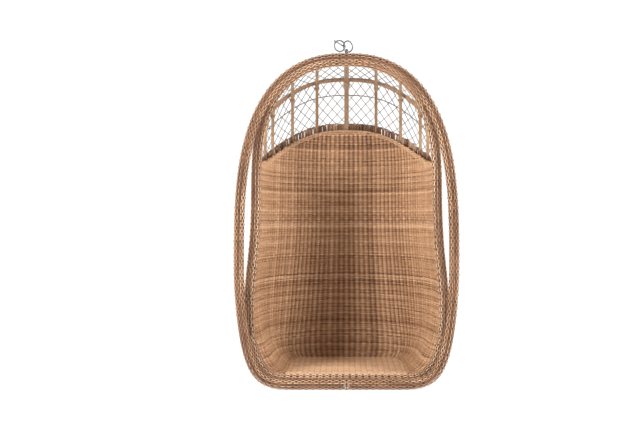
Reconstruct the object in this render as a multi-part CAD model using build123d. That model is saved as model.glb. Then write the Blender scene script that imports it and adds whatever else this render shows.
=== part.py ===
from build123d import *

import os
from functools import cache
from math import cos, exp, pi, sin, tan

# A hanging egg chair in woven rattan, in millimetres. The chair stands on the flat foot of its
# hoop, centred on X, and faces -Y. Z is zero at the foot.

# ---- Driving sizes ----

# Overall
WIDTH = 860
HOOP_HEIGHT = 1280
DEPTH = 690

# The hoop's outline, seen from the front: two superellipse halves that meet at the belly
BELLY_HEIGHT = 460
CROWN_POWERS = (2.4, 3.1)
FOOT_POWERS = (10, 1.65)

# Poles and their woven wraps
WRAP_DIAMETER = 42
WRAP_WALL = 6
WRAP_CLEARANCE = 0.3
WRAP_GAP = 1
UPRIGHT_DIAMETER = 12.5
CENTRE_POLE_DIAMETER = 19
MIDDLE_ARCH_DIAMETER = 16
BORDER_DIAMETER = 10
BASE_RING_DIAMETER = 21
SEAT_RAIL_DIAMETER = 22
GAP = 0.5
BEND_GAP = 2.5
BUTT_GAP = 0.5

# The shell's rim stands inside and behind the hoop, and draws away from it between two heights
RIM_INSET = 16
RIM_CROWN_DROP = 6
FOOT_FLAT = 0.8
RIM_FOOT_RISE = 12
WAIST_INSET = 33
WAIST_RECESS = 90
WAIST_LOW = 140
WAIST_FALL = 110
WAIST_HIGH = HOOP_HEIGHT - WAIST_FALL

# The shell as level sections from rim to rim, rounder above and squarer at the foot
WALL_FOOT = 12
WALL_FOOT_POWER = 5
BACK_FOOT = 200
BACK_POWER = 2.7
BACK_FOOT_POWER = 2.2
SECTION_POWER = 2.05
SECTION_FOOT_POWER = 8
SECTION_FADE = 80
SKIN_THICKNESS = 6
SKIN_FOOT = 56

# The hood's curves fall short of the hoop's height in the middle, and drop from there towards the
# rim as a power of the distance from the middle
ARCH_POWER = 2.5
DROP_REACH = 322
BORDER_FALL = 251
MIDDLE_ARCH_FALL = 74
CANE_LINE_FALL = 128
BORDER_HEIGHT = HOOP_HEIGHT - BORDER_FALL
BORDER_DROP = 142
MIDDLE_ARCH_HEIGHT = HOOP_HEIGHT - MIDDLE_ARCH_FALL
CANE_LINE_HEIGHT = HOOP_HEIGHT - CANE_LINE_FALL
ARCH_DROP = 176
RIM_LINE_DROP = 190

# Uprights, by their distance from the middle at the hoop, fanning out towards the back
UPRIGHTS = {"inner": 112, "outer": 205, "side": 280, "end": 309}
FAN_LENGTH = 4000
UPRIGHT_FOOT = 38

# Cane work in the hood
CANE_DIAMETER = 3
CANE_LINE_DIAMETER = 5
CANES = 28
LOWER_LEAN = 0.28
UPPER_LEAN = 0.15
LOOPS = 66
LOOP_WIRE = 4
LOOP_WIDTH = 12
LOOP_HEIGHT = 34
LACINGS = 60
LACING_WIRE = 2.5
BINDING_WIRE = 3
BINDING_TURNS = 3

# Seat
SEAT_HEIGHT = 52
SEAT_THICKNESS = 8
SEAT_MARGIN = 24
SEAT_RAIL_PLACES = (-200, -90, 20, 130)
RAIL_BEARING = 6

# Steel
RING_DIAMETER = 46.5
RING_WIRE = 5
RING_LEAN = 20
HANGER_TURN = 35
EYE_PLAY = 2
RING_LIFT = 1.5
STEM_DIAMETER = 6
HOLE_PLAY = 0.4
WASHER_DIAMETER = 16
WASHER_THICKNESS = 1.5
NUT_WIDTH = 10
NUT_HEIGHT = 4
POCKET_PLAY = 1
HOOK_RADIUS = 7
HOOK_WIRE = 4.5
SECOND_RING_SIDE = -26
SECOND_RING_TURN = 20
SECOND_RING_HOLD = 135
SCREW_DIAMETER = 4
SCREW_HEAD_DIAMETER = 8
SCREW_HEAD_HEIGHT = 2.5
HOOP_SCREW_HEIGHTS = (70, HOOP_HEIGHT - 100)

# How finely the curves are followed
OUTLINE_POINTS = 61
UPRIGHT_POINTS = 33
ARCH_POINTS = 25
CANE_POINTS = 5
LEAST_TURN = 1
RUN_SHARE = 0.45
SKIN_ROWS = 13
SKIN_COLUMNS = 31
SKIN_TOLERANCE = 0.1
HOOK_START = -100
HOOK_SWEEP = 200
HOOK_BENDS = 6

# ---- Values worked out from them ----

WRAP_RADIUS = WRAP_DIAMETER / 2
POLE_DIAMETER = WRAP_DIAMETER - 2 * WRAP_WALL - 2 * WRAP_CLEARANCE
HOOP_REACH = WIDTH / 2 - WRAP_RADIUS
HOOP_CROWN = HOOP_HEIGHT - WRAP_RADIUS
HOOP_FOOT = WRAP_RADIUS - FOOT_FLAT
HOOP_Y = -DEPTH / 2 + WRAP_RADIUS
RIM_Y = HOOP_Y + WRAP_DIAMETER + WRAP_GAP
RIM_CROWN = HOOP_CROWN - RIM_CROWN_DROP
RIM_FOOT = HOOP_FOOT + RIM_FOOT_RISE
BACK_REACH = DEPTH / 2 - CENTRE_POLE_DIAMETER / 2
MIDDLE_ARCH_OFFSET = (CENTRE_POLE_DIAMETER + MIDDLE_ARCH_DIAMETER) / 2 + GAP
BORDER_OFFSET = -(CENTRE_POLE_DIAMETER + BORDER_DIAMETER) / 2 - BEND_GAP
SKIN_OFFSET = -(CENTRE_POLE_DIAMETER + SKIN_THICKNESS) / 2 - BEND_GAP
CANE_OFFSET = (CENTRE_POLE_DIAMETER + CANE_DIAMETER) / 2 + BINDING_WIRE + 3 * GAP
CANE_LINE_OFFSET = CANE_OFFSET + 1.5 * CANE_DIAMETER + CANE_LINE_DIAMETER / 2 + 2 * GAP
LACING_REACH = MIDDLE_ARCH_DIAMETER / 2 + LACING_WIRE + 3 * GAP
LACING_CLEAR = 1.5 * MIDDLE_ARCH_OFFSET
EYE_RADIUS = RING_WIRE + EYE_PLAY
POCKET_DIAMETER = 2 * EYE_RADIUS + RING_WIRE + 2 * POCKET_PLAY
RING_RADIUS = (RING_DIAMETER - RING_WIRE) / 2
EYE_HEIGHT = HOOP_HEIGHT + RING_WIRE / 2 + RING_LIFT
EYE = Vector(0, HOOP_Y, EYE_HEIGHT)


# ---- The shape of the chair as formulas ----

def half_width(z, reach, crown, foot, foot_power=FOOT_POWERS[0]):
    """How far an egg outline stands from the middle at a height."""
    if z >= BELLY_HEIGHT:
        rise = min(1, (z - BELLY_HEIGHT) / (crown - BELLY_HEIGHT))
        return reach * (1 - rise ** CROWN_POWERS[1]) ** (1 / CROWN_POWERS[0])
    fall = min(1, (BELLY_HEIGHT - z) / (BELLY_HEIGHT - foot))
    return reach * (1 - fall ** FOOT_POWERS[1]) ** (1 / foot_power)


def waist(z):
    """One where the rim stands furthest from the hoop, and zero at its crown and foot."""
    share = min(1, max(0, (z - WAIST_LOW) / (WAIST_HIGH - WAIST_LOW)))
    return sin(pi * share) ** 2


def rim_half_width(z):
    return half_width(z, HOOP_REACH - RIM_INSET, RIM_CROWN, RIM_FOOT) - WAIST_INSET * waist(z)


def rim_depth(z):
    return RIM_Y + WAIST_RECESS * waist(z)


def wall_half_width(z):
    """The wall follows the rim, and rounds in under the seat at the foot."""
    reach = HOOP_REACH - RIM_INSET
    if z >= BELLY_HEIGHT:
        return rim_half_width(z)
    return half_width(z, reach, RIM_CROWN, WALL_FOOT, WALL_FOOT_POWER) - WAIST_INSET * waist(z)


def back_depth(z):
    """How far back the middle of the shell stands at a height."""
    if z >= BELLY_HEIGHT:
        rise = min(1, (z - BELLY_HEIGHT) / (RIM_CROWN - BELLY_HEIGHT))
        share = (1 - rise ** BACK_POWER) ** (1 / BACK_POWER)
        return RIM_Y + (BACK_REACH - RIM_Y) * share
    fall = min(1, (BELLY_HEIGHT - z) / (BELLY_HEIGHT - WALL_FOOT))
    share = (1 - fall ** BACK_FOOT_POWER) ** (1 / BACK_FOOT_POWER)
    return BACK_FOOT + (BACK_REACH - BACK_FOOT) * share


def section_power(z):
    return SECTION_POWER + SECTION_FOOT_POWER * exp(-z / SECTION_FADE)


def shell_point(x, z):
    """The shell's middle surface over a place in the front view."""
    power = section_power(z)
    share = min(1, abs(x) / wall_half_width(z))
    front = rim_depth(z)
    y = front + (back_depth(z) - front) * (1 - share ** power) ** (1 / power)
    return Vector(x, y, z)


def level_point(angle, z):
    """The shell's middle surface at an angle round a level section, 90 degrees being the back."""
    power = section_power(z)
    across = cos(angle * pi / 180)
    side = 1 if across >= 0 else -1
    x = side * wall_half_width(z) * abs(across) ** (2 / power)
    front = rim_depth(z)
    y = front + (back_depth(z) - front) * max(0, sin(angle * pi / 180)) ** (2 / power)
    return Vector(x, y, z)


def unit_normal(here, along, up):
    """The surface's unit normal on the side away from the sitter."""
    normal = (along - here).cross(up - here).normalized()
    from_middle = Vector(here.X, here.Y - RIM_Y, 0)
    return normal if normal.dot(from_middle) >= 0 else normal * -1


def off_shell(x, z, distance):
    """A place at a distance outside the shell's middle surface."""
    here = shell_point(x, z)
    side = 1 if x <= 0 else -1
    return here + unit_normal(here, shell_point(x + side, z), shell_point(x, z - 1)) * distance


def off_level(angle, z, distance):
    here = level_point(angle, z)
    normal = unit_normal(here, level_point(angle + 0.5, z), level_point(angle, z + 1))
    return here + normal * distance


@cache
def level_line(z):
    """Fine points round a level section, with the length along it to each of them."""
    points = [level_point(0.5 * i, z) for i in range(361)]
    lengths = [0]
    for a, b in zip(points, points[1:]):
        lengths.append(lengths[-1] + (b - a).length)
    return points, lengths


def level_share(point):
    """How far round its level section a point lies, from 0 to 1."""
    points, lengths = level_line(point.Z)
    nearest = min(range(len(points)), key=lambda i: (points[i] - point).length)
    return lengths[nearest] / lengths[-1]


def level_at(share, z):
    points, lengths = level_line(z)
    target = share * lengths[-1]
    i = next(k for k in range(1, len(lengths)) if lengths[k] >= target)
    part = (target - lengths[i - 1]) / (lengths[i] - lengths[i - 1])
    return points[i - 1] + (points[i] - points[i - 1]) * part


def hood_height(x, height, drop):
    return height - drop * (abs(x) / DROP_REACH) ** ARCH_POWER


@cache
def hood_end(height, drop):
    """Where a hood curve meets the rim's middle line."""
    low, high = 0, HOOP_REACH
    for _ in range(30):
        middle = (low + high) / 2
        if middle < wall_half_width(hood_height(middle, height, drop)):
            low = middle
        else:
            high = middle
    return low


def hood_point(share, height, drop, distance=0):
    """A place along a hood curve, from -1 at the left rim to 1 at the right one."""
    x = hood_end(height, drop) * sin(min(1, max(-1, share)) * pi / 2)
    return off_shell(x, hood_height(x, height, drop), distance)


def evenly(curve, count, steps=400):
    """Points at even distances along a curve, which is a function of 0 to 1."""
    fine = [curve(i / steps) for i in range(steps + 1)]
    lengths = [0]
    for a, b in zip(fine, fine[1:]):
        lengths.append(lengths[-1] + (b - a).length)
    points = []
    i = 0
    for k in range(count):
        target = lengths[-1] * k / (count - 1)
        while i < steps - 1 and lengths[i + 1] < target:
            i += 1
        share = (target - lengths[i]) / (lengths[i + 1] - lengths[i])
        points.append(fine[i] + (fine[i + 1] - fine[i]) * share)
    return points


@cache
def rim_line():
    return evenly(rim_curve, 240)


def clear_part(curve, count, radius, steps=80):
    """Even points along the part of a curve that stays clear of the rim's wrap."""
    limit = WRAP_RADIUS + radius + 2 * GAP
    clear = []
    for i in range(steps + 1):
        point = curve(i / steps)
        if min((point - other).length for other in rim_line()) > limit:
            clear.append(i / steps)
    if not clear or clear[-1] - clear[0] < 0.2:
        return []
    low, span = clear[0], clear[-1] - clear[0]
    return evenly(lambda share: curve(low + span * share), count, steps)


# ---- Solids that repeat ----

def bent(points):
    """The points less those where the path hardly turns."""
    kept = [points[0]]
    for here, after in zip(points[1:], points[2:]):
        if (here - kept[-1]).get_angle(after - here) > LEAST_TURN:
            kept.append(here)
    return kept + [points[-1]]


def smooth_path(points):
    """Straight runs joined by tangent arcs, each as large as its two runs allow."""
    points = bent(points)
    radii = []
    for before, here, after in zip(points, points[1:], points[2:]):
        turn = (here - before).get_angle(after - here) * pi / 180
        shorter = min((here - before).length, (after - here).length)
        radii.append(RUN_SHARE * shorter / tan(turn / 2))
    if not radii:
        return Line(*points)
    return FilletPolyline(*points, radius=radii)


def pole(points, diameter):
    """A round pole bent along a smooth path."""
    path = smooth_path(points)
    return sweep(Plane(origin=path @ 0, z_dir=path % 0) * Circle(diameter / 2), path=path)


def wrap(points):
    """The woven cover of a pole, as a tube with a clearance round the pole."""
    path = smooth_path(points)
    ring = Circle(WRAP_RADIUS) - Circle(WRAP_RADIUS - WRAP_WALL)
    return sweep(Plane(origin=path @ 0, z_dir=path % 0) * ring, path=path)


def ring_solid(centre, axis, mean_radius, wire):
    return Plane(origin=centre, z_dir=axis) * Torus(mean_radius, wire / 2)


def above_ground():
    """Everything over the ground, which cuts a flat on what stands on it."""
    return Pos(0, 0, HOOP_HEIGHT) * Box(4 * WIDTH, 4 * WIDTH, 2 * HOOP_HEIGHT)


def save(node, *solids):
    shapes = [solid for group in solids for solid in group.solids()]
    whole = shapes[0] if len(shapes) == 1 else Compound(children=shapes)
    whole.label = node
    export_step(whole, f"parts/{node}.step")


# ---- Hoop and rim ----

def outline(reach_at, crown, foot, depth_at):
    """An egg as a function of 0 to 1, round from the middle of its foot."""
    middle = (crown + foot) / 2
    half = (crown - foot) / 2

    def curve(share):
        angle = 2 * pi * share
        z = middle - half * cos(angle)
        side = 1 if share <= 0.5 else -1
        return Vector(side * reach_at(z), depth_at(z), z)

    return curve


def hoop_reach_at(z):
    return half_width(z, HOOP_REACH, HOOP_CROWN, HOOP_FOOT)


hoop_curve = outline(hoop_reach_at, HOOP_CROWN, HOOP_FOOT, lambda z: HOOP_Y)
rim_curve = outline(rim_half_width, RIM_CROWN, RIM_FOOT, rim_depth)


def butted(curve):
    """Even points round a loop, which ends in a butt joint in the middle of the foot."""
    points = evenly(curve, OUTLINE_POINTS)
    points[0] = points[0] + Vector(BUTT_GAP / 2, 0, 0)
    points[-1] = points[-1] - Vector(BUTT_GAP / 2, 0, 0)
    return points


def hanger_pocket(width):
    """The upright hole through the crown, in which the eye and its nut sit."""
    return Pos(0, HOOP_Y, HOOP_CROWN) * Cylinder(width / 2, 2 * WRAP_DIAMETER)


def make_hoop():
    points = butted(hoop_curve)
    save("hoop_pole", pole(points, POLE_DIAMETER) - hanger_pocket(STEM_DIAMETER + HOLE_PLAY))
    save("hoop_wrap", (wrap(points) & above_ground()) - hanger_pocket(POCKET_DIAMETER))


def make_rim():
    points = butted(rim_curve)
    save("rim_pole", pole(points, POLE_DIAMETER))
    save("rim_wrap", wrap(points))


# ---- Uprights ----

def upright_point(place, z):
    """A point of the upright that stands this far from the middle at the hoop."""
    x = place
    for _ in range(4):
        x = place * (1 + (shell_point(x, z).Y - HOOP_Y) / FAN_LENGTH)
    return shell_point(x, z)


def border_height_at(place):
    """The height at which an upright goes in under the border."""
    z = BORDER_HEIGHT
    for _ in range(8):
        z = hood_height(upright_point(place, z).X, BORDER_HEIGHT, BORDER_DROP)
    return z


def upright_top(place):
    """The height at which an upright meets the rim's middle line."""
    low, high = BELLY_HEIGHT, RIM_CROWN
    for _ in range(30):
        z = (low + high) / 2
        if abs(place) < rim_half_width(z):
            low = z
        else:
            high = z
    return low


@cache
def upright_path(place, diameter):
    top = upright_top(place)
    tucked = border_height_at(place)
    share = level_share(upright_point(place, tucked))

    def curve(along):
        z = top - (top - UPRIGHT_FOOT) * along ** 2
        return upright_point(place, z) if z >= tucked else level_at(share, z)

    return clear_part(curve, UPRIGHT_POINTS, diameter / 4, 200)


def uprights():
    """Each upright's name, place and diameter."""
    yield "centre_pole", 0, CENTRE_POLE_DIAMETER
    for name, place in UPRIGHTS.items():
        yield f"left_{name}_pole", -place, UPRIGHT_DIAMETER
        yield f"right_{name}_pole", place, UPRIGHT_DIAMETER


def make_uprights():
    for name, place, diameter in uprights():
        save(name, pole(upright_path(place, diameter), diameter))


# ---- Hood ----

@cache
def arch_crossing(place):
    """Where an upright passes the middle arch."""
    z = MIDDLE_ARCH_HEIGHT
    for _ in range(8):
        z = hood_height(upright_point(place, z).X, MIDDLE_ARCH_HEIGHT, ARCH_DROP)
    return upright_point(place, z)


def arch(height, drop, distance, diameter):
    def curve(share):
        return hood_point(2 * share - 1, height, drop, distance)

    return clear_part(curve, ARCH_POINTS, diameter / 2, 200)


def make_arches():
    middle = arch(MIDDLE_ARCH_HEIGHT, ARCH_DROP, MIDDLE_ARCH_OFFSET, MIDDLE_ARCH_DIAMETER)
    save("middle_arch", pole(middle, MIDDLE_ARCH_DIAMETER))
    line = arch(CANE_LINE_HEIGHT, ARCH_DROP, CANE_LINE_OFFSET, CANE_LINE_DIAMETER)
    save("cane_line", pole(line, CANE_LINE_DIAMETER))
    border = arch(BORDER_HEIGHT, BORDER_DROP, BORDER_OFFSET, BORDER_DIAMETER)
    save("shell_border", pole(border, BORDER_DIAMETER))

    path = smooth_path(middle)
    mean = (MIDDLE_ARCH_DIAMETER + LACING_WIRE) / 2 + GAP
    rings = []
    for i in range(LACINGS):
        share = (i + 0.5) / LACINGS
        centre = path @ share
        if all((centre - arch_crossing(place)).length > LACING_CLEAR for _, place, _ in uprights()):
            rings.append(ring_solid(centre, path % share, mean, LACING_WIRE))
    save("arch_lacing", *rings)


def lattice(low, high, lean, trim_low, trim_high):
    """Two layers of canes that lean opposite ways between two hood curves."""
    canes = []
    for layer, way in enumerate((1, -1)):
        distance = CANE_OFFSET + layer * (CANE_DIAMETER + GAP)
        for i in range(CANES + 1):
            start = 2 * i / CANES - 1 - way * lean / 2

            def curve(share):
                part = trim_low + (1 - trim_low - trim_high) * share
                height = low[0] + (high[0] - low[0]) * part
                drop = low[1] + (high[1] - low[1]) * part
                return hood_point(start + way * lean * part, height, drop, distance)

            points = clear_part(curve, CANE_POINTS, CANE_DIAMETER / 2)
            if points:
                canes.append(pole(points, CANE_DIAMETER))
    return canes


def make_lattices():
    border = (BORDER_HEIGHT, BORDER_DROP)
    middle = (MIDDLE_ARCH_HEIGHT, ARCH_DROP)
    top = (RIM_CROWN, RIM_LINE_DROP)
    save("lower_lattice", *lattice(border, middle, LOWER_LEAN, 0.24, 0.08))
    save("upper_lattice", *lattice(middle, top, UPPER_LEAN, 0.25, 0))


def make_loops():
    """Stake ends bent over above the border, between the uprights."""
    loops = []
    for i in range(LOOPS):
        middle = 2 * (i + 0.5) / LOOPS - 1
        foot = hood_point(middle, BORDER_HEIGHT, BORDER_DROP)
        ahead = hood_point(middle + 0.01, BORDER_HEIGHT, BORDER_DROP)
        above = hood_point(middle, BORDER_HEIGHT + LOOP_HEIGHT, BORDER_DROP)
        side = (ahead - foot).normalized() * ((LOOP_WIDTH - LOOP_WIRE) / 2)
        up = (above - foot).normalized() * LOOP_HEIGHT
        corners = [foot - side, foot - side + up, foot + side + up, foot + side]
        if far_from_uprights(corners) and far_from_rim(corners):
            loops.append(pole(corners, LOOP_WIRE))
    save("loop_trim", *loops)


def far_from_uprights(points):
    for _, place, diameter in uprights():
        limit = (diameter + LOOP_WIRE) / 2 + 3 * GAP
        z = border_height_at(place)
        for height in (0, LOOP_HEIGHT / 2, LOOP_HEIGHT):
            centre = upright_point(place, z + height)
            if any((point - centre).length < limit for point in points):
                return False
    return True


def far_from_rim(points):
    limit = WRAP_RADIUS + LOOP_WIRE
    return all((point - other).length > limit for point in points for other in rim_line())


def make_bindings():
    """Turns of cane round each upright, above and below its crossing with the middle arch."""
    turns = []
    for _, place, diameter in uprights():
        crossing = arch_crossing(place)
        upward = (upright_point(place, crossing.Z + 1) - crossing).normalized()
        mean = (diameter + BINDING_WIRE) / 2 + 2 * GAP
        for way in (-1, 1):
            for i in range(BINDING_TURNS):
                along = LACING_REACH + (i + 0.5) * (BINDING_WIRE + GAP)
                centre = upright_point(place, (crossing + upward * way * along).Z)
                axis = upright_point(place, centre.Z + 1) - centre
                if far_from_rim([centre]):
                    turns.append(ring_solid(centre, axis, mean, BINDING_WIRE))
    save("pole_bindings", *turns)


# ---- Shell, base and seat ----

def skin_top(angle):
    """The height at which the skin stops under the border."""
    low, high = BELLY_HEIGHT, BORDER_HEIGHT
    for _ in range(30):
        z = (low + high) / 2
        if z < hood_height(level_point(angle, z).X, BORDER_HEIGHT, BORDER_DROP):
            low = z
        else:
            high = z
    return low - BORDER_DIAMETER


def skin_grid(distance):
    """Rows of points on the shell, each row the same share of the way up."""
    rows = []
    for r in range(SKIN_ROWS):
        row = []
        for c in range(SKIN_COLUMNS):
            share = c / (SKIN_COLUMNS - 1)
            angle = 180 * share
            for _ in range(6):
                z = SKIN_FOOT + (skin_top(angle) - SKIN_FOOT) * r / (SKIN_ROWS - 1)
                depth = (WRAP_RADIUS - SKIN_OFFSET / 2) / (back_depth(z) - rim_depth(z))
                first = depth ** (section_power(z) / 2) * 180 / pi
                angle = first + (180 - 2 * first) * share
            row.append(off_level(angle, z, distance))
        rows.append(row)
    return rows


def make_shell():
    """The woven scoop, as a plain skin on the sitter's side of the uprights."""
    points = skin_grid(SKIN_OFFSET - SKIN_THICKNESS / 2)
    inner = Face.make_surface_from_array_of_points(points, tol=SKIN_TOLERANCE, min_deg=3)
    save("shell_weave", thicken(inner, amount=-SKIN_THICKNESS))


def make_base():
    """The ring under the shell's foot, from behind the rim on one side to the other."""
    height = UPRIGHT_FOOT

    def curve(share):
        point = level_point(180 * share, height)
        return Vector(point.X, point.Y, BASE_RING_DIAMETER / 2 - FOOT_FLAT)

    points = clear_part(curve, OUTLINE_POINTS // 2, BASE_RING_DIAMETER / 2, 200)
    save("base_ring", pole(points, BASE_RING_DIAMETER) & above_ground())


def make_seat():
    middle = SEAT_HEIGHT - SEAT_THICKNESS / 2
    power = section_power(middle)
    reach = wall_half_width(middle) - SEAT_MARGIN
    front = RIM_Y + WRAP_RADIUS + GAP
    depth = back_depth(middle) - SEAT_MARGIN - front
    rim = []
    for i in range(ARCH_POINTS):
        angle = pi * i / (ARCH_POINTS - 1)
        side = 1 if cos(angle) >= 0 else -1
        x = side * reach * abs(cos(angle)) ** (2 / power)
        rim.append((x, front + depth * max(0, sin(angle)) ** (2 / power)))
    outline_edge = Polyline(*rim, close=True)
    panel = extrude(make_face(outline_edge), amount=SEAT_THICKNESS)
    save("seat_panel", Pos(0, 0, SEAT_HEIGHT - SEAT_THICKNESS) * panel)

    height = BASE_RING_DIAMETER + GAP + SEAT_RAIL_DIAMETER / 2
    length = 2 * (wall_half_width(UPRIGHT_FOOT) - RAIL_BEARING)
    rail = Rot(0, 90, 0) * Cylinder(SEAT_RAIL_DIAMETER / 2, length)
    save("seat_rails", *[Pos(0, y, height) * rail for y in SEAT_RAIL_PLACES])


# ---- Steel ----

def screw(place, direction, length):
    """A screw whose head's underside is at a place, and which runs in a direction."""
    plane = Plane(origin=place, z_dir=direction)
    shank = plane * Pos(0, 0, length / 2) * Cylinder(SCREW_DIAMETER / 2, length)
    head = Cylinder(SCREW_HEAD_DIAMETER / 2, SCREW_HEAD_HEIGHT)
    return shank + plane * Pos(0, 0, -SCREW_HEAD_HEIGHT / 2) * head


def turned(x, z, turn):
    """A place in an upright plane through the hanger that is turned about the vertical."""
    return Vector(x * cos(turn * pi / 180), x * sin(turn * pi / 180), z)


def ring_place(centre, angle, turn):
    """A place on a ring's middle line, by its angle from the right."""
    radians = angle * pi / 180
    return centre + turned(RING_RADIUS * cos(radians), RING_RADIUS * sin(radians), turn)


def ring_axis(turn):
    return turned(1, 0, turn + 90)


def first_ring_centre():
    lean = RING_LEAN * pi / 180
    return EYE + turned(RING_RADIUS * sin(lean), RING_RADIUS * cos(lean), HANGER_TURN)


def second_ring_centre():
    height = HOOP_HEIGHT + RING_LIFT + RING_DIAMETER / 2
    return Vector(SECOND_RING_SIDE, HOOP_Y, height)


def make_hanger():
    stem_top = EYE_HEIGHT - EYE_RADIUS
    stem_length = stem_top - (HOOP_CROWN - WRAP_RADIUS)
    eye = ring_solid(EYE, turned(1, 0, HANGER_TURN), EYE_RADIUS, RING_WIRE)
    stem = Pos(0, HOOP_Y, stem_top - stem_length / 2) * Cylinder(STEM_DIAMETER / 2, stem_length)
    save("hanger_eye", eye + stem)
    under = HOOP_CROWN - POLE_DIAMETER / 2
    hole = Cylinder((STEM_DIAMETER + HOLE_PLAY) / 2, WRAP_DIAMETER)
    washer = Cylinder(WASHER_DIAMETER / 2, WASHER_THICKNESS) - hole
    save("eye_washer", Pos(0, HOOP_Y, under - WASHER_THICKNESS / 2) * washer)
    nut = extrude(RegularPolygon(NUT_WIDTH / 2, 6, major_radius=False), NUT_HEIGHT) - hole
    save("eye_nut", Pos(0, HOOP_Y, under - WASHER_THICKNESS - NUT_HEIGHT) * nut)


def make_rings():
    first = ring_solid(first_ring_centre(), ring_axis(HANGER_TURN), RING_RADIUS, RING_WIRE)
    second = ring_solid(second_ring_centre(), ring_axis(SECOND_RING_TURN), RING_RADIUS, RING_WIRE)
    save("first_ring", first)
    save("second_ring", second)


def hook_ends():
    """Where the hook holds the first ring, and where it holds the second."""
    first = ring_place(first_ring_centre(), 180, HANGER_TURN)
    second = ring_place(second_ring_centre(), SECOND_RING_HOLD, SECOND_RING_TURN)
    return first, second


def make_hook():
    """An S of two bends joined by a shank that crosses between them."""
    first, second = hook_ends()
    along = (second - first).normalized()
    across = (Vector(0, 1, 0) - along * along.Y).normalized()
    points = []
    for centre, way in ((first, 1), (second, -1)):
        bend = []
        for i in range(HOOK_BENDS + 1):
            angle = (HOOK_START + HOOK_SWEEP * i / HOOK_BENDS) * pi / 180
            arm = along * (-way * cos(angle)) + across * (way * sin(angle))
            bend.append(centre + arm * (HOOK_RADIUS / cos(HOOK_SWEEP / HOOK_BENDS / 2 * pi / 180)))
        points += bend if way == 1 else bend[::-1]
    save("s_hook", pole(points, HOOK_WIRE))


def make_screws():
    """Screws from the rim's pole into the hoop's, at the foot and near the crown on both sides."""
    screws = []
    for side in (-1, 1):
        for z in HOOP_SCREW_HEIGHTS:
            start = Vector(side * rim_half_width(z), rim_depth(z) + WRAP_RADIUS, z)
            end = Vector(side * hoop_reach_at(z), HOOP_Y, z)
            screws.append(screw(start, (end - start).normalized(), (end - start).length))
    save("hoop_screws", *screws)


os.makedirs("parts", exist_ok=True)
make_hoop()
make_rim()
make_uprights()
make_arches()
make_lattices()
make_loops()
make_bindings()
make_shell()
make_base()
make_seat()
make_hanger()
make_rings()
make_hook()
make_screws()
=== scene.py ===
from math import pi, radians

import bpy
import numpy as np
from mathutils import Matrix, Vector


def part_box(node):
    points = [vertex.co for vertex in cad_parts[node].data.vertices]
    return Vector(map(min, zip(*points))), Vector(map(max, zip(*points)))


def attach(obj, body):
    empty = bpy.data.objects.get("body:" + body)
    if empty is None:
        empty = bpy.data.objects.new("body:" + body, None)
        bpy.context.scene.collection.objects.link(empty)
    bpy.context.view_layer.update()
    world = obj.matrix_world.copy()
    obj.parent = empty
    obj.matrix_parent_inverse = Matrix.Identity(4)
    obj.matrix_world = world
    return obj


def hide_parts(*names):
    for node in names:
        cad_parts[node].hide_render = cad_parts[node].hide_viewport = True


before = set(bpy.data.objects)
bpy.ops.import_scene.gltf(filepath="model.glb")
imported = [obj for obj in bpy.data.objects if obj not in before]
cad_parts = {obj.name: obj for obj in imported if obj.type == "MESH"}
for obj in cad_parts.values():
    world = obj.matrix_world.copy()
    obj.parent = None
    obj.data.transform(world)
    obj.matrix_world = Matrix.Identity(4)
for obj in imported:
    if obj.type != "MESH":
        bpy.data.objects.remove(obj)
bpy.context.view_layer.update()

# The looks of a hanging egg chair in woven rattan, in metres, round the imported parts. Everything
# woven is built again strand by strand; poles, crossed canes and steel keep their own shapes.

RANDOM = np.random.default_rng(7)

# ---- Sizes read from the frame ----

HOOP_LOW, HOOP_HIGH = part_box("hoop_wrap")
WRAP_RADIUS = (HOOP_HIGH.y - HOOP_LOW.y) / 2
HOOP_Y = (HOOP_HIGH.y + HOOP_LOW.y) / 2
HOOP_REACH = (HOOP_HIGH.x - HOOP_LOW.x) / 2 - WRAP_RADIUS
HOOP_CROWN = HOOP_HIGH.z - WRAP_RADIUS
HOOP_FOOT = HOOP_LOW.z + WRAP_RADIUS
POLE_LOW, POLE_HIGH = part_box("centre_pole")
CENTRE_POLE_RADIUS = (POLE_HIGH.x - POLE_LOW.x) / 2
BACK_REACH = POLE_HIGH.y - CENTRE_POLE_RADIUS
SEAT_LOW, SEAT_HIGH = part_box("seat_panel")

# ---- The chair's shape, as in the parts ----

BELLY = 0.46
CROWN_POWERS = (2.4, 3.1)
FOOT_POWERS = (10, 1.65)
RIM_Y = HOOP_Y + 2 * WRAP_RADIUS + 0.001
RIM_REACH = HOOP_REACH - 0.016
RIM_CROWN = HOOP_CROWN - 0.006
RIM_FOOT = HOOP_FOOT + 0.012
WAIST_INSET = 0.033
WAIST_RECESS = 0.09
WAIST_LOW = 0.14
WAIST_HIGH = 1.17
WALL_FOOT = 0.012
WALL_FOOT_POWER = 5
BACK_FOOT = 0.2
BACK_POWER = 2.7
BACK_FOOT_POWER = 2.2
SECTION_POWER = 2.05
SECTION_FOOT_POWER = 8
SECTION_FADE = 0.08
FLARE_DEPTH = 0.06
NEAR = 0.001
ARCH_POWER = 2.5
DROP_REACH = 0.322
BORDER_HEIGHT = 1.029
BORDER_DROP = 0.142
MIDDLE_ARCH_HEIGHT = 1.206
CANE_LINE_HEIGHT = 1.152
ARCH_DROP = 0.176
RIM_LINE_DROP = 0.19

# ---- Weaving ----

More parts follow.
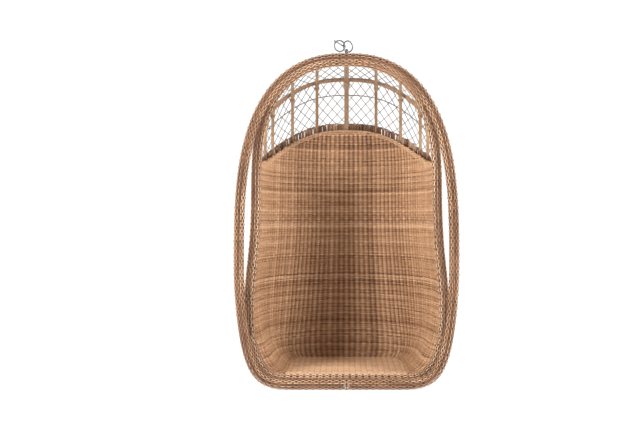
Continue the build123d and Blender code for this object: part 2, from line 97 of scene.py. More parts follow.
SKIN_OFFSET = -(CENTRE_POLE_RADIUS + 0.0055)
SECTION_STEPS = 721
STAKE_PITCH = 0.0235
WEAVER_STEPS = 4
STAKE_RADIUS = 0.0023
WEAVER_PITCH = 0.0042
WEAVER_WIDTH = 0.0056
WEAVER_THICKNESS = 0.0038
WEAVER_SWING = 0.0011
RIB_SWING = 0.0026
# Painted shade: how much darker the reed is painted in the valleys of the weave, halfway between stakes.
VALLEY_PAINTED_SHADE = 0.42
WEAVE_FOOT = 0.022
WEAVER_GROUPS = 4
DARK_ROW_TONE = 0.24
WRAP_STRANDS = 18
WRAP_RIDGES = 280
WRAP_POINTS = 4 * WRAP_RIDGES + 1
WRAP_STAKE_WIDTH = 0.003
WRAP_STRAND_THICKNESS = 0.0026
WRAP_SWING = 0.0026
WRAP_STRAND_SHARE = 0.6
FILL_REACH = 0.052
FILL_WIDTH = 0.0062
FILL_PLACES = ((0.36, 0.0135), (0.5, 0.0115), (0.64, 0.0135))
SEAT_STAKE_PITCH = 0.023
BORDER_ROPE_RADIUS = 0.0024
BORDER_TWIST = 0.022
BORDER_LIFT = 0.004
CANE_LINE_DISTANCE = CENTRE_POLE_RADIUS + 0.012
CANE_LINE_RADIUS = 0.0012
CANE_LINE_TWIST = 0.03
CANES = 28
CANE_WIDTH = 0.0031
CANE_DISTANCE = CENTRE_POLE_RADIUS + 0.006
CANE_LAYER_GAP = 0.0032
TOP_CANE_DROP = 0.012
LOWER_LEAN = 0.28
UPPER_LEAN = 0.15
LOOP_PITCH = 0.0075
LOOP_HEIGHT = 0.034
LOOP_WIRE_RADIUS = 0.0028
LOOP_ROOT = 0.01
LOOP_LAYERS = (-0.001, 0.003)


# ---- Shape as formulas, on numpy arrays ----

def egg(z, reach, crown, foot, foot_power=FOOT_POWERS[0]):
    """How far an egg outline stands from the middle at a height."""
    rise = np.clip((z - BELLY) / (crown - BELLY), 0, 1)
    fall = np.clip((BELLY - z) / (BELLY - foot), 0, 1)
    above = reach * (1 - rise ** CROWN_POWERS[1]) ** (1 / CROWN_POWERS[0])
    below = reach * (1 - fall ** FOOT_POWERS[1]) ** (1 / foot_power)
    return np.where(z >= BELLY, above, below)


def waist(z):
    """How much of the waist's full inset the rim has at a height, from 0 to 1."""
    share = np.clip((z - WAIST_LOW) / (WAIST_HIGH - WAIST_LOW), 0, 1)
    return np.sin(pi * share) ** 2


def rim_half_width(z):
    return egg(z, RIM_REACH, RIM_CROWN, RIM_FOOT) - WAIST_INSET * waist(z)


def rim_depth(z):
    return RIM_Y + WAIST_RECESS * waist(z)


def wall_half_width(z):
    """The wall follows the rim, and rounds in under the seat at the foot."""
    below = egg(z, RIM_REACH, RIM_CROWN, WALL_FOOT, WALL_FOOT_POWER) - WAIST_INSET * waist(z)
    return np.where(z >= BELLY, rim_half_width(z), below)


def back_depth(z):
    """How far back the middle of the shell stands at a height."""
    rise = np.clip((z - BELLY) / (RIM_CROWN - BELLY), 0, 1)
    fall = np.clip((BELLY - z) / (BELLY - WALL_FOOT), 0, 1)
    above = RIM_Y + (BACK_REACH - RIM_Y) * (1 - rise ** BACK_POWER) ** (1 / BACK_POWER)
    share = (1 - fall ** BACK_FOOT_POWER) ** (1 / BACK_FOOT_POWER)
    return np.where(z >= BELLY, above, BACK_FOOT + (BACK_REACH - BACK_FOOT) * share)


def section_power(z):
    return SECTION_POWER + SECTION_FOOT_POWER * np.exp(-z / SECTION_FADE)


def level_points(angle, z):
    """The shell's middle surface round a level section, run out in front to meet the rim."""
    power = section_power(z)
    across = np.cos(angle)
    x = wall_half_width(z) * np.sign(across) * np.abs(across) ** (2 / power)
    depth = np.maximum(0, np.sin(angle)) ** (2 / power)
    y = rim_depth(z) + (back_depth(z) - rim_depth(z)) * depth
    flare = rim_half_width(np.maximum(z, RIM_FOOT + 0.004)) - wall_half_width(z)
    x = x + np.sign(across) * flare * np.exp(-((y - rim_depth(z)) / FLARE_DEPTH) ** 2)
    return np.stack([x, y, z + 0 * x], axis=-1)


def shell_points(x, z):
    """The shell's middle surface over places in the front view."""
    power = section_power(z)
    share = np.minimum(1, np.abs(x) / wall_half_width(z))
    y = rim_depth(z) + (back_depth(z) - rim_depth(z)) * (1 - share ** power) ** (1 / power)
    return np.stack([x, y, z + 0 * x], axis=-1)


def unit(vectors):
    return vectors / np.maximum(np.linalg.norm(vectors, axis=-1, keepdims=True), 1e-12)


def outward_normals(here, along, up):
    """Unit normals on the side away from the sitter."""
    normal = unit(np.cross(along - here, up - here))
    from_middle = here - np.array([0, RIM_Y, 0])
    from_middle[..., 2] = 0
    side = np.sign(np.sum(normal * from_middle, axis=-1, keepdims=True))
    return normal * np.where(side == 0, 1, side)


def shell_normals(here, x, z):
    inner = shell_points(x - np.sign(x + 1e-9) * NEAR, z)
    return outward_normals(here, inner, shell_points(x, z - NEAR))


def level_row(shares, z, distance=0.0):
    """Points and outward normals at shares of the way round a level section."""
    angle = pi / 2 * (1 - np.cos(pi * np.linspace(0, 1, SECTION_STEPS)))
    rows = []
    for height in (z, z + NEAR):
        fine = level_points(angle, height)
        steps = np.linalg.norm(np.diff(fine, axis=0), axis=1)
        length = np.concatenate([[0], np.cumsum(steps)])
        rows.append([fine, length])
    fine, length = rows[0]
    above, above_length = rows[1]
    here = along_line(fine, length, shares)
    ahead = along_line(fine, length, shares + 0.002)
    up = along_line(above, above_length, shares)
    normal = outward_normals(here, ahead, up)
    return here + normal * distance, normal, length[-1]


def along_line(points, length, shares):
    """Points at shares of a polyline's length; past its end they go straight on."""
    target = np.clip(shares, 0, 1) * length[-1]
    extra = (shares - np.clip(shares, 0, 1))[:, None] * length[-1]
    found = np.stack([np.interp(target, length, points[:, i]) for i in range(3)], axis=1)
    return found + extra * unit(points[-1] - points[-2])


def hood_height(x, height, drop):
    return height - drop * (np.abs(x) / DROP_REACH) ** ARCH_POWER


def hood_end(height, drop):
    """Where a hood curve meets the rim's middle line."""
    x = np.linspace(0, HOOP_REACH, 4000)
    inside = x < wall_half_width(hood_height(x, height, drop))
    return x[inside][-1]


def hood_line(height, drop, distance, count, lift=0.0):
    """Points and outward normals along a hood curve from the left rim to the right."""
    reach = hood_end(height, drop) - WRAP_RADIUS / 2
    x = reach * np.sin(np.linspace(-pi / 2, pi / 2, count))
    z = hood_height(x, height, drop) + lift
    here = shell_points(x, z)
    normal = shell_normals(here, x, z)
    return here + normal * distance, normal


def evenly(points, count):
    """Points at even distances along a polyline."""
    steps = np.linalg.norm(np.diff(points, axis=0), axis=1)
    length = np.concatenate([[0], np.cumsum(steps)])
    target = np.linspace(0, length[-1], count)
    return np.stack([np.interp(target, length, points[:, i]) for i in range(3)], axis=1)


# ---- Strands and meshes ----

class Strands:
    """Gathers strands, each a tube along a line, to make into one mesh."""

    def __init__(self, sides):
        self.sides = sides
        self.places = []
        self.quads = []
        self.tones = []
        self.alongs = []
        self.arounds = []
        self.total = 0

    def add(self, points, outward, width, thickness, tone):
        """One strand; tone is one value or one for each point."""
        count = len(points)
        tangent = unit(np.gradient(points, axis=0))
        side = unit(np.cross(tangent, outward))
        out = np.cross(side, tangent)
        angle = 2 * pi * np.arange(self.sides) / self.sides
        across = np.cos(angle)[None, :, None] * side[:, None, :] * (width / 2)
        off = np.sin(angle)[None, :, None] * out[:, None, :] * (thickness / 2)
        ring = points[:, None, :] + across + off
        steps = np.linalg.norm(np.diff(points, axis=0), axis=1)
        length = np.concatenate([[0], np.cumsum(steps)]) + RANDOM.uniform(0, 50)
        self.places.append(ring.reshape(-1, 3))
        self.tones.append(np.repeat(np.broadcast_to(tone, count), self.sides))
        self.alongs.append(np.repeat(length, self.sides))
        self.arounds.append(np.tile(np.cos(angle), count))
        first = self.total + np.arange(count - 1)[:, None] * self.sides
        k = np.arange(self.sides)[None, :]
        after = (k + 1) % self.sides
        ahead = first + self.sides
        quad = np.stack([first + k, first + after, ahead + after, ahead + k], axis=-1)
        self.quads.append(quad.reshape(-1, 4))
        self.total += count * self.sides

    def make(self, name, material, body="chair", replaces=()):
        mesh = bpy.data.meshes.new(name)
        places = np.concatenate(self.places)
        quads = np.concatenate(self.quads)
        mesh.vertices.add(len(places))
        mesh.vertices.foreach_set("co", places.astype(np.float32).ravel())
        mesh.loops.add(quads.size)
        mesh.loops.foreach_set("vertex_index", quads.astype(np.int32).ravel())
        mesh.polygons.add(len(quads))
        mesh.polygons.foreach_set("loop_start", np.arange(len(quads), dtype=np.int32) * 4)
        mesh.update(calc_edges=True)
        mesh.polygons.foreach_set("use_smooth", np.ones(len(quads), bool))
        for label, values in (("tone", self.tones), ("along", self.alongs), ("around", self.arounds)):
            attribute = mesh.attributes.new(label, "FLOAT", "POINT")
            attribute.data.foreach_set("value", np.concatenate(values).astype(np.float32))
        mesh.materials.append(material)
        piece = bpy.data.objects.new(name, mesh)
        bpy.context.scene.collection.objects.link(piece)
        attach(piece, body)
        if replaces:
            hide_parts(*replaces)
        return piece


# ---- Materials ----

class Shader:
    """Short names for making a node material."""

    def __init__(self, name):
        self.material = bpy.data.materials.new(name)
        self.material.use_nodes = True
        self.tree = self.material.node_tree
        self.surface = self.tree.nodes["Principled BSDF"]

    def node(self, kind, **inputs):
        made = self.tree.nodes.new(kind)
        for key, value in inputs.items():
            self.put(made.inputs[key.replace("_", " ")], value)
        return made

    def put(self, socket, value):
        if isinstance(value, bpy.types.NodeSocket):
            self.tree.links.new(value, socket)
        else:
            socket.default_value = value

    def value(self, operation, *inputs):
        made = self.tree.nodes.new("ShaderNodeMath")
        made.operation = operation
        for socket, value in zip(made.inputs, inputs):
            self.put(socket, value)
        return made.outputs[0]

    def attribute(self, name):
        made = self.tree.nodes.new("ShaderNodeAttribute")
        made.attribute_name = name
        return made.outputs["Fac"]

    def noise(self, vector, scale, detail=3.0):
        made = self.node("ShaderNodeTexNoise", Scale=scale, Detail=detail)
        self.put(made.inputs["Vector"], vector)
        return made.outputs["Fac"]

    def vector(self, x, y, z):
        made = self.tree.nodes.new("ShaderNodeCombineXYZ")
        for socket, value in zip(made.inputs, (x, y, z)):
            self.put(socket, value)
        return made.outputs[0]

    def ramp(self, factor, colours):
        made = self.tree.nodes.new("ShaderNodeValToRGB")
        self.put(made.inputs["Fac"], factor)
        elements = made.color_ramp.elements
        while len(elements) < len(colours):
            elements.new(0.5)
        for i, colour in enumerate(colours):
            elements[i].position = i / (len(colours) - 1)
            elements[i].color = (*colour, 1)
        return made.outputs["Color"]

    def bump(self, height, strength, distance):
        made = self.node("ShaderNodeBump", Strength=strength, Distance=distance)
        self.put(made.inputs["Height"], height)
        self.put(self.surface.inputs["Normal"], made.outputs["Normal"])


def linear(red, green, blue):
    """Screen colour parts from 0 to 255 as linear values."""
    parts = [part / 255 for part in (red, green, blue)]
    return tuple(p / 12.92 if p <= 0.04045 else ((p + 0.055) / 1.055) ** 2.4 for p in parts)


def strand_material(name, colours, roughness):
    """Rattan that takes its colour from each strand, with fibres along it and stains across."""
    shader = Shader(name)
    tone = shader.attribute("tone")
    along = shader.attribute("along")
    around = shader.attribute("around")
    fibre_place = shader.vector(
        shader.value("MULTIPLY", along, FIBRES_ALONG),
        shader.value("MULTIPLY", around, FIBRES_AROUND),
        shader.value("MULTIPLY", tone, FIBRES_BY_TONE),
    )
    fibres = shader.noise(fibre_place, 1.0)
    stains = shader.noise(shader.vector(shader.value("MULTIPLY", along, STAINS_ALONG), 0.0, tone), 1.0, 2.0)
    mixed = shader.value("ADD", tone, shader.value("MULTIPLY", shader.value("SUBTRACT", fibres, 0.5), 0.5))
    mixed = shader.value("ADD", mixed, shader.value("MULTIPLY", shader.value("SUBTRACT", stains, 0.5), 0.7))
    shader.put(shader.surface.inputs["Base Color"], shader.ramp(mixed, colours))
    rough = shader.value("ADD", shader.value("MULTIPLY", fibres, 0.25), roughness - 0.12)
    shader.put(shader.surface.inputs["Roughness"], rough)
    shader.surface.inputs["Specular IOR Level"].default_value = 0.4
    shader.bump(fibres, 0.35, 0.0006)
    return shader.material


def pole_material(name, colours, roughness, grain=(160, 160, 12)):
    """Round pole: long fibres and blotches in the piece's own coordinates."""
    shader = Shader(name)
    place = shader.tree.nodes.new("ShaderNodeTexCoord").outputs["Object"]
    stretch = shader.tree.nodes.new("ShaderNodeMapping")
    stretch.inputs["Scale"].default_value = grain
    shader.put(stretch.inputs["Vector"], place)
    fibres = shader.noise(stretch.outputs["Vector"], 1.0, 5.0)
    blotches = shader.noise(place, 14.0)
    fine = shader.value("MULTIPLY", fibres, 0.55)
    mixed = shader.value("ADD", fine, shader.value("MULTIPLY", blotches, 0.45))
    spread = shader.value("MULTIPLY_ADD", mixed, 2.4, -0.7)
    shader.put(shader.surface.inputs["Base Color"], shader.ramp(spread, colours))
    rough = shader.value("ADD", shader.value("MULTIPLY", fibres, 0.3), roughness - 0.15)
    shader.put(shader.surface.inputs["Roughness"], rough)
    shader.bump(fibres, 0.3, 0.0008)
    return shader.material


def steel_material():
    shader = Shader("steel_plated")
    place = shader.tree.nodes.new("ShaderNodeTexCoord").outputs["Object"]
    marks = shader.noise(place, 300.0, 6.0)
    shader.surface.inputs["Metallic"].default_value = 1.0
    dark = linear(58, 56, 56)
    light = linear(128, 126, 124)
    shader.put(shader.surface.inputs["Base Color"], shader.ramp(marks, (dark, light)))
    rough = shader.value("MULTIPLY_ADD", marks, 0.3, 0.15)
    shader.put(shader.surface.inputs["Roughness"], rough)
    shader.bump(marks, 0.15, 0.0003)
    return shader.material


FIBRES_ALONG = 40
FIBRES_AROUND = 9
FIBRES_BY_TONE = 30
STAINS_ALONG = 9

REED = (linear(88, 56, 35), linear(148, 108, 76), linear(188, 149, 114), linear(216, 182, 150))
WICKER = (linear(56, 33, 20), linear(122, 84, 58), linear(178, 138, 106), linear(226, 194, 162))
PALE = (linear(108, 80, 56), linear(142, 112, 84), linear(168, 138, 108))
BROWN = (linear(108, 78, 54), linear(142, 106, 76), linear(174, 138, 106))
GREY_CANE = (linear(84, 78, 76), linear(120, 112, 106), linear(150, 138, 128))
LOOP = (linear(72, 46, 32), linear(128, 92, 68), linear(190, 156, 126))
# Painted shade: the poles inside the wraps are coloured near black, so that the gaps between the wrap's
# strands read as deep shade.
CORE_SHADE = (linear(46, 30, 20), linear(70, 46, 30), linear(92, 62, 42))

reed_material = strand_material("reed", REED, 0.55)
wicker_material = strand_material("wicker", WICKER, 0.45)
loop_material = strand_material("loops", LOOP, 0.6)
peeled_material = pole_material("peeled_pole", PALE, 0.45)
brown_material = pole_material("brown_pole", BROWN, 0.5)
core_shade_material = pole_material("core_painted_shade", CORE_SHADE, 0.7)
lattice_material = strand_material("grey_cane", GREY_CANE, 0.5)
metal_material = steel_material()


# ---- Woven pieces ----

def row_heights():
    """Heights of the weavers, evenly spaced over the side wall's curve."""
    z = np.linspace(WEAVE_FOOT, BORDER_HEIGHT - 0.004, 4000)
    w = wall_half_width(z)
    length = np.concatenate([[0], np.cumsum(np.hypot(np.diff(w), np.diff(z)))])
    count = int(length[-1] / WEAVER_PITCH)
    return np.interp(np.linspace(0, length[-1], count), length, z)


def stake_count():
    return 2 * round(level_row(np.array([0.5]), BELLY)[2] / STAKE_PITCH / 2)


def first_share(z):
    """The share at which the weave comes out of the rim's wrap."""
    return 0.55 * WRAP_RADIUS / level_row(np.array([0.5]), z)[2]


def make_weavers():
    """Level rows of reed that pass inside and outside the stakes by turns."""
    stakes = stake_count()
    heights = row_heights()
    column_tone = RANDOM.normal(0, 0.06, stakes + 1)
    dark_rows = set(RANDOM.choice(len(heights), len(heights) // 20, replace=False))
    size = len(heights) // WEAVER_GROUPS + 1
    for group in range(WEAVER_GROUPS):
        strands = Strands(4)
        for row in range(group * size, min(len(heights), (group + 1) * size)):
            z = heights[row]
            first = first_share(z)
            shares = np.linspace(first, 1 - first, WEAVER_STEPS * stakes + 1)
            wobble = 0.0006 * np.sin(shares * RANDOM.uniform(20, 60) + RANDOM.uniform(0, 6))
            here, normal, _ = level_row(shares, z)
            place = np.linspace(0, stakes, WEAVER_STEPS * stakes + 1)
            swing = WEAVER_SWING * np.cos(pi * place) * (1 if row % 2 else -1)
            swing = swing - RIB_SWING * np.cos(2 * pi * place)
            here = here + normal * (SKIN_OFFSET + swing)[:, None]
            here[:, 2] += wobble
            tone = 0.70 + RANDOM.normal(0, 0.13) + column_tone[np.round(place).astype(int)]
            # Painted shade: the reed is painted darker halfway between stakes, in the valleys of the weave.
            tone = tone - VALLEY_PAINTED_SHADE * (1 - np.cos(2 * pi * place)) / 2
            if row in dark_rows:
                tone = tone - DARK_ROW_TONE
            keep = here[:, 2] < hood_height(here[:, 0], BORDER_HEIGHT, BORDER_DROP) - 0.002
            if keep.sum() > 6:
                strands.add(here[keep], normal[keep], WEAVER_WIDTH, WEAVER_THICKNESS, tone[keep])
        replaced = ("shell_weave",) if group == 0 else ()
        strands.make(f"weavers_{group}", reed_material, replaces=replaced)


def make_stakes():
    """Upright stakes in pairs, from under the seat to the border."""
    stakes = stake_count()
    heights = row_heights()[::4]
    rows = []
    for z in heights:
        first = first_share(z)
        shares = np.linspace(first, 1 - first, stakes + 1)
        rows.append(level_row(shares, z, SKIN_OFFSET)[:2])
    points = np.array([row[0] for row in rows])
    normals = np.array([row[1] for row in rows])
    strands = Strands(5)
    for k in range(1, stakes):
        line, normal = points[:, k], normals[:, k]
        inside = line[:, 2] < hood_height(line[:, 0], BORDER_HEIGHT, BORDER_DROP)
        line, normal = line[inside], normal[inside]
        side = unit(np.cross(np.gradient(line, axis=0), normal))
        for way in (-1, 1):
            tone = 0.5 + RANDOM.normal(0, 0.12)
            strands.add(line + side * way * STAKE_RADIUS, normal, 2 * STAKE_RADIUS, 2 * STAKE_RADIUS, tone)
    strands.make("stakes", reed_material)


def loop_curve(reach_at, crown, foot, depth_at, count):
    """An egg-shaped loop of even points that starts and ends at the middle of its foot."""
    angle = 2 * pi * np.linspace(0, 1, 4001)
    z = (crown + foot) / 2 - (crown - foot) / 2 * np.cos(angle)
    side = np.where(angle <= pi, 1, -1)
    x = side * reach_at(z)
    x[[0, -1]] = 0
    return evenly(np.stack([x, depth_at(z), z], axis=1), count)


def make_wrap(name, line, replaced):
    """Lengthwise strands over and under small cross stakes, round a pole."""
    tangent = unit(np.gradient(line, axis=0))
    across = unit(np.cross(tangent, np.array([0, 1, 0])))
    depth = np.cross(across, tangent)
    count = len(line)
    phase = np.linspace(0, WRAP_RIDGES, count)
    strands = Strands(5)
    mean = WRAP_RADIUS - WRAP_STRAND_THICKNESS / 2 - WRAP_SWING
    width = 2 * pi * mean / WRAP_STRANDS * WRAP_STRAND_SHARE
    for k in range(WRAP_STRANDS):
        angle = 2 * pi * (k + 0.5) / WRAP_STRANDS
        out = across * np.cos(angle) + depth * np.sin(angle)
        swing = WRAP_SWING * np.cos(pi * phase) * (1 if k % 2 else -1)
        tone = 0.52 + RANDOM.normal(0, 0.2) + 0.10 * np.sin(phase / 9 + RANDOM.uniform(0, 6))
        strands.add(line + out * (mean + swing)[:, None], out, width, WRAP_STRAND_THICKNESS, tone)
    strands.make(name, wicker_material, replaces=replaced)
    rings = Strands(4)
    turn = np.linspace(0, 2 * pi, 17)
    for i in range(WRAP_RIDGES):
        at = int(round(i * (count - 1) / WRAP_RIDGES))
        out = across[at] * np.cos(turn)[:, None] + depth[at] * np.sin(turn)[:, None]
        tone = 0.15 + RANDOM.normal(0, 0.1)
        rings.add(line[at] + out * mean, out, WRAP_STAKE_WIDTH, WRAP_STAKE_WIDTH, tone)
    rings.make(f"{name}_stakes", wicker_material)


def hoop_half_width(z):
    return egg(z, HOOP_REACH, HOOP_CROWN, HOOP_FOOT)


def hoop_depth(z):
    return HOOP_Y + 0 * z


def make_wraps():
    hoop = loop_curve(hoop_half_width, HOOP_CROWN, HOOP_FOOT, hoop_depth, WRAP_POINTS)
    make_wrap("hoop_weave", hoop, ("hoop_wrap",))
    rim = loop_curve(rim_half_width, RIM_CROWN, RIM_FOOT, rim_depth, WRAP_POINTS)
    make_wrap("rim_weave", rim, ("rim_wrap",))
    make_fill(hoop, rim)


def make_fill(hoop, rim):
    """Strands laid in the groove where the rim runs close along the hoop."""
    between = rim - hoop
    close = np.linalg.norm(between, axis=1) < FILL_REACH
    starts = np.flatnonzero(np.diff(close.astype(int)))
    tangent = unit(np.gradient(hoop, axis=0))
    inward = unit(np.cross(unit(between), tangent))
    middle = np.array([0, 0, HOOP_CROWN / 2])
    way = np.sign(np.sum(inward * (middle - hoop), axis=1, keepdims=True))
    inward = inward * way
    phase = np.linspace(0, WRAP_RIDGES, len(hoop))
    strands = Strands(5)
    for part in np.split(np.arange(len(hoop)), starts + 1):
        if not close[part[0]] or len(part) < 8:
            continue
        for k, (share, lift) in enumerate(FILL_PLACES):
            swing = WRAP_SWING * np.cos(pi * phase[part]) * (1 if k % 2 else -1)
            line = hoop[part] + between[part] * share + inward[part] * (lift + swing)[:, None]
            tone = 0.5 + RANDOM.normal(0, 0.12)
            strands.add(line, inward[part], FILL_WIDTH, WRAP_STRAND_THICKNESS, tone)
    strands.make("groove_strands", wicker_material)


def seat_edge(y):
    """Half the seat's width at a depth."""
    middle = (SEAT_LOW.z + SEAT_HIGH.z) / 2
    power = section_power(middle)
    share = np.clip((y - SEAT_LOW.y) / (SEAT_HIGH.y - SEAT_LOW.y), 0, 1)
    return SEAT_HIGH.x * (1 - share ** power) ** (1 / power)


def make_seat():
    """A flat mat: reed from side to side, over and under stakes that run front to back."""
    up = np.array([0.0, 0, 1])
    top = SEAT_HIGH.z - WEAVER_THICKNESS / 2 - WEAVER_SWING * 0.6
    strands = Strands(4)
    stakes = 2 * round(SEAT_HIGH.x / SEAT_STAKE_PITCH)
    y = SEAT_LOW.y + WEAVER_PITCH / 2
    row = 0
    while y < SEAT_HIGH.y - WEAVER_PITCH / 2:
        reach = seat_edge(np.array(y))
        x = np.linspace(-reach, reach, 4 * stakes + 1)
        swing = WEAVER_SWING * 0.6 * np.cos(pi * (x / SEAT_STAKE_PITCH)) * (1 if row % 2 else -1)
        line = np.stack([x, y + 0 * x, top + swing], axis=1)
        # Painted shade: the seat's reed is painted darker halfway between its stakes, in the valleys of the
        # weave.
        painted_valley_shade = (1 - np.cos(2 * pi * x / SEAT_STAKE_PITCH)) / 2
        # Painted light: the seat's reed starts lighter (0.85) than the walls' (0.70), because the seat's
        # top faces the light from above.
        tone = 0.85 + RANDOM.normal(0, 0.1) - VALLEY_PAINTED_SHADE / 2 * painted_valley_shade
        strands.add(line, np.tile(up, (len(x), 1)), WEAVER_WIDTH, WEAVER_THICKNESS, tone)
        y += WEAVER_PITCH
        row += 1
    for k in range(-(stakes // 2), stakes // 2 + 1):
        x = k * SEAT_STAKE_PITCH
        depths = np.linspace(SEAT_LOW.y, SEAT_HIGH.y, 40)
        depths = depths[seat_edge(depths) > abs(x)]
        for way in (-1, 1):
            line = np.stack([x + way * STAKE_RADIUS + 0 * depths, depths, top + 0 * depths], axis=1)
            strands.add(line, np.tile(up, (len(line), 1)), 2 * STAKE_RADIUS, 2 * STAKE_RADIUS, 0.5)
    strands.make("seat_weave", reed_material, replaces=("seat_panel",))


def add_rope(strands, line, normal, strand_radius, twist, tone, plies=2):
    """Plies twisted round a line."""
    tangent = unit(np.gradient(line, axis=0))
    side = np.cross(tangent, normal)
    steps = np.linalg.norm(np.diff(line, axis=0), axis=1)
    length = np.concatenate([[0], np.cumsum(steps)])
    for ply in range(plies):
        angle = 2 * pi * (length / twist + ply / plies)
        out = side * np.cos(angle)[:, None] + normal * np.sin(angle)[:, None]
        width = 2 * strand_radius
        strands.add(line + out * strand_radius, out, width, width, tone + RANDOM.normal(0, 0.06))


def make_border():
    """Two rolled edges of twisted reed along the top of the weave."""
    strands = Strands(6)
    for lift in (-BORDER_LIFT, BORDER_LIFT):
        line, normal = hood_line(BORDER_HEIGHT, BORDER_DROP, SKIN_OFFSET, 480, lift)
        add_rope(strands, line, normal, BORDER_ROPE_RADIUS, BORDER_TWIST, 0.72)
    strands.make("border_ropes", reed_material, replaces=("shell_border",))


def make_cane_line():
    strands = Strands(5)
    line, normal = hood_line(CANE_LINE_HEIGHT, ARCH_DROP, CANE_LINE_DISTANCE, 400)
    add_rope(strands, line, normal, CANE_LINE_RADIUS, CANE_LINE_TWIST, 0.1)
    strands.make("cane_rope", loop_material, replaces=("cane_line",))


def make_lattice(name, low, high, lean, replaced):
    """Two layers of canes that lean opposite ways between two hood curves."""
    strands = Strands(6)
    for layer, way in enumerate((1, -1)):
        distance = CANE_DISTANCE + layer * CANE_LAYER_GAP
        for i in range(CANES + 1):
            part = np.linspace(0, 1, 17)
            share = 2 * i / CANES - 1 - way * lean / 2 + way * lean * part
            height = low[0] + (high[0] - low[0]) * part
            drop = low[1] + (high[1] - low[1]) * part
            end = np.array([hood_end(h, d) for h, d in zip(height, drop)])
            inside = np.abs(share) < 0.97
            if inside.sum() < 3:
                continue
            x = (end * np.sin(np.clip(share, -1, 1) * pi / 2))[inside]
            z = hood_height(x, height[inside], drop[inside])
            here = shell_points(x, z)
            normal = shell_normals(here, x, z)
            tone = 0.5 + RANDOM.normal(0, 0.2)
            strands.add(here + normal * distance, normal, CANE_WIDTH, CANE_WIDTH, tone)
    strands.make(name, lattice_material, replaces=(replaced,))


def make_lattices():
    border = (BORDER_HEIGHT + LOOP_HEIGHT / 2, BORDER_DROP)
    middle = (MIDDLE_ARCH_HEIGHT, ARCH_DROP)
    top = (RIM_CROWN - TOP_CANE_DROP, RIM_LINE_DROP)
    make_lattice("lower_canes", border, middle, LOWER_LEAN, "lower_lattice")
    make_lattice("upper_canes", middle, top, UPPER_LEAN, "upper_lattice")


def make_loops():
    """Stake ends that stand up over the border and bend over into their neighbours."""
    strands = Strands(5)
    fine, _ = hood_line(BORDER_HEIGHT, BORDER_DROP, 0.0, 2000)
    count = int(np.linalg.norm(np.diff(fine, axis=0), axis=1).sum() / LOOP_PITCH)
    feet = evenly(fine, count)
    turn = np.linspace(0, pi, 9)
    for i in range(1, count - 1):
        x = feet[i, 0]
        ahead = unit(feet[i + 1] - feet[i - 1])
        foot = feet[i]
        z = foot[2] + LOOP_HEIGHT
        above = shell_points(np.array(x), np.array(z))
        up = unit(above - foot)
        out = unit(np.cross(ahead, up))
        half = LOOP_PITCH * RANDOM.uniform(0.55, 0.95)
        high = LOOP_HEIGHT * RANDOM.uniform(0.86, 1.0) - half
        lean = ahead * RANDOM.normal(0, 0.0015)
        bend = up * np.sin(turn)[:, None] - ahead * np.cos(turn)[:, None]
        halfway = up * high / 2 + lean / 2
        line = np.vstack([
            foot - ahead * half - up * LOOP_ROOT,
            foot - ahead * half + halfway,
            foot + up * high + lean + bend * half,
            foot + ahead * half + halfway,
            foot + ahead * half - up * LOOP_ROOT,
        ])
        line = line + out * LOOP_LAYERS[i % 2]
        normal = np.tile(out, (len(line), 1))
        width = 2 * LOOP_WIRE_RADIUS
        strands.add(line, normal, width, width, 0.35 + RANDOM.normal(0, 0.25))
    strands.make("loops", loop_material, replaces=("loop_trim",))


# ---- Pieces that keep their own shapes ----

def paint(material, *nodes):
    for name in nodes:
        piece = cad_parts[name]
        for slot in piece.material_slots:
            slot.material = material
        if not piece.material_slots:
            piece.data.materials.append(material)


def paint_nodes():
    sides = ("left", "right")
    uprights = [f"{side}_{name}_pole" for side in sides for name in ("inner", "outer", "side", "end")]
    paint(peeled_material, "centre_pole", *uprights)
    paint(brown_material, "middle_arch", "arch_lacing", "base_ring", "seat_rails")
    paint(peeled_material, "pole_bindings")
    # Painted shade: near-black poles show through the wraps' gaps as deep shade.
    paint(core_shade_material, "hoop_pole", "rim_pole")
    steel = ("hanger_eye", "eye_washer", "eye_nut", "first_ring", "s_hook", "second_ring", "hoop_screws")
    paint(metal_material, *steel)


# ---- Stage ----

FLOOR_REACH = 40
FLOOR_GLOW = 0.56
SEEN_WORLD = 1.15
LIGHT_WORLD = 0.6
LAMP_SIZE = 1.2
KEY_PLACE = (-2.6, -3.0, 1.5)
KEY_WATTS = 190
FILL_PLACE = (3.0, -2.6, 1.3)
FILL_WATTS = 150
CAMERA_DISTANCE = 4.0
CAMERA_HEIGHT = 0.66


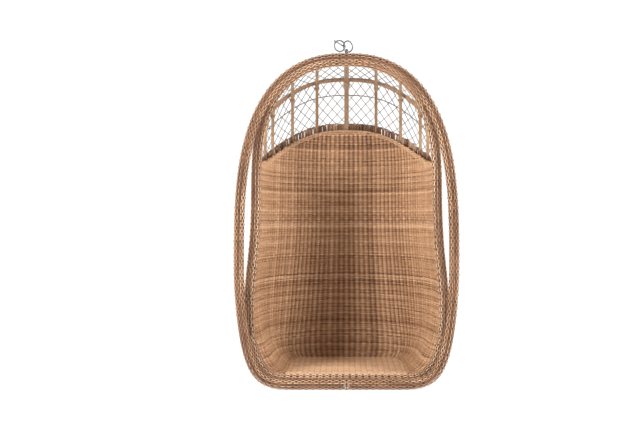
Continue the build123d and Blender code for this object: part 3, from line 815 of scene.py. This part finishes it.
def make_floor():
    mesh = bpy.data.meshes.new("floor")
    far = FLOOR_REACH
    corners = [(-far, -far, 0), (far, -far, 0), (far, far, 0), (-far, far, 0)]
    mesh.from_pydata(corners, [], [(0, 1, 2, 3)])
    shader = Shader("floor_white")
    shader.surface.inputs["Base Color"].default_value = (0.93, 0.93, 0.93, 1)
    shader.surface.inputs["Roughness"].default_value = 0.9
    shader.surface.inputs["Emission Color"].default_value = (1, 1, 1, 1)
    shader.surface.inputs["Emission Strength"].default_value = FLOOR_GLOW
    mesh.materials.append(shader.material)
    floor = bpy.data.objects.new("floor", mesh)
    bpy.context.scene.collection.objects.link(floor)


def make_light(name, place, energy):
    """A soft lamp that points at the chair's middle."""
    light = bpy.data.lights.new(name, "AREA")
    light.size = LAMP_SIZE
    light.energy = energy
    lamp = bpy.data.objects.new(name, light)
    lamp.location = place
    direction = Vector((0, 0, HOOP_CROWN / 2)) - Vector(place)
    lamp.rotation_euler = direction.to_track_quat("-Z", "Y").to_euler()
    bpy.context.scene.collection.objects.link(lamp)


def make_world():
    """White surroundings that look brighter to the camera than the light they give."""
    world = bpy.data.worlds.new("studio")
    world.use_nodes = True
    nodes = world.node_tree.nodes
    background = nodes["Background"]
    background.inputs["Color"].default_value = (1, 1, 1, 1)
    path = nodes.new("ShaderNodeLightPath")
    brighter = nodes.new("ShaderNodeMath")
    brighter.operation = "MULTIPLY_ADD"
    brighter.inputs[1].default_value = SEEN_WORLD - LIGHT_WORLD
    brighter.inputs[2].default_value = LIGHT_WORLD
    world.node_tree.links.new(path.outputs["Is Camera Ray"], brighter.inputs[0])
    world.node_tree.links.new(brighter.outputs[0], background.inputs["Strength"])
    bpy.context.scene.world = world
    bpy.context.scene.view_settings.view_transform = "Standard"


def make_camera():
    """Level, straight in front, with the chair a little right of the picture's middle."""
    camera = bpy.data.cameras.new("camera")
    camera.sensor_width = 36
    camera.lens = 59.8
    camera.shift_x = -0.0457
    camera.shift_y = 0.0063
    camera.dof.use_dof = False
    seen = bpy.data.objects.new("camera", camera)
    seen.location = (0, HOOP_Y - CAMERA_DISTANCE, CAMERA_HEIGHT)
    seen.rotation_euler = (radians(90), 0, 0)
    bpy.context.scene.collection.objects.link(seen)
    bpy.context.scene.camera = seen


make_weavers()
make_stakes()
make_wraps()
make_seat()
make_border()
make_cane_line()
make_loops()
make_lattices()
paint_nodes()
make_floor()
make_light("key", KEY_PLACE, KEY_WATTS)
make_light("fill", FILL_PLACE, FILL_WATTS)
make_world()
make_camera()
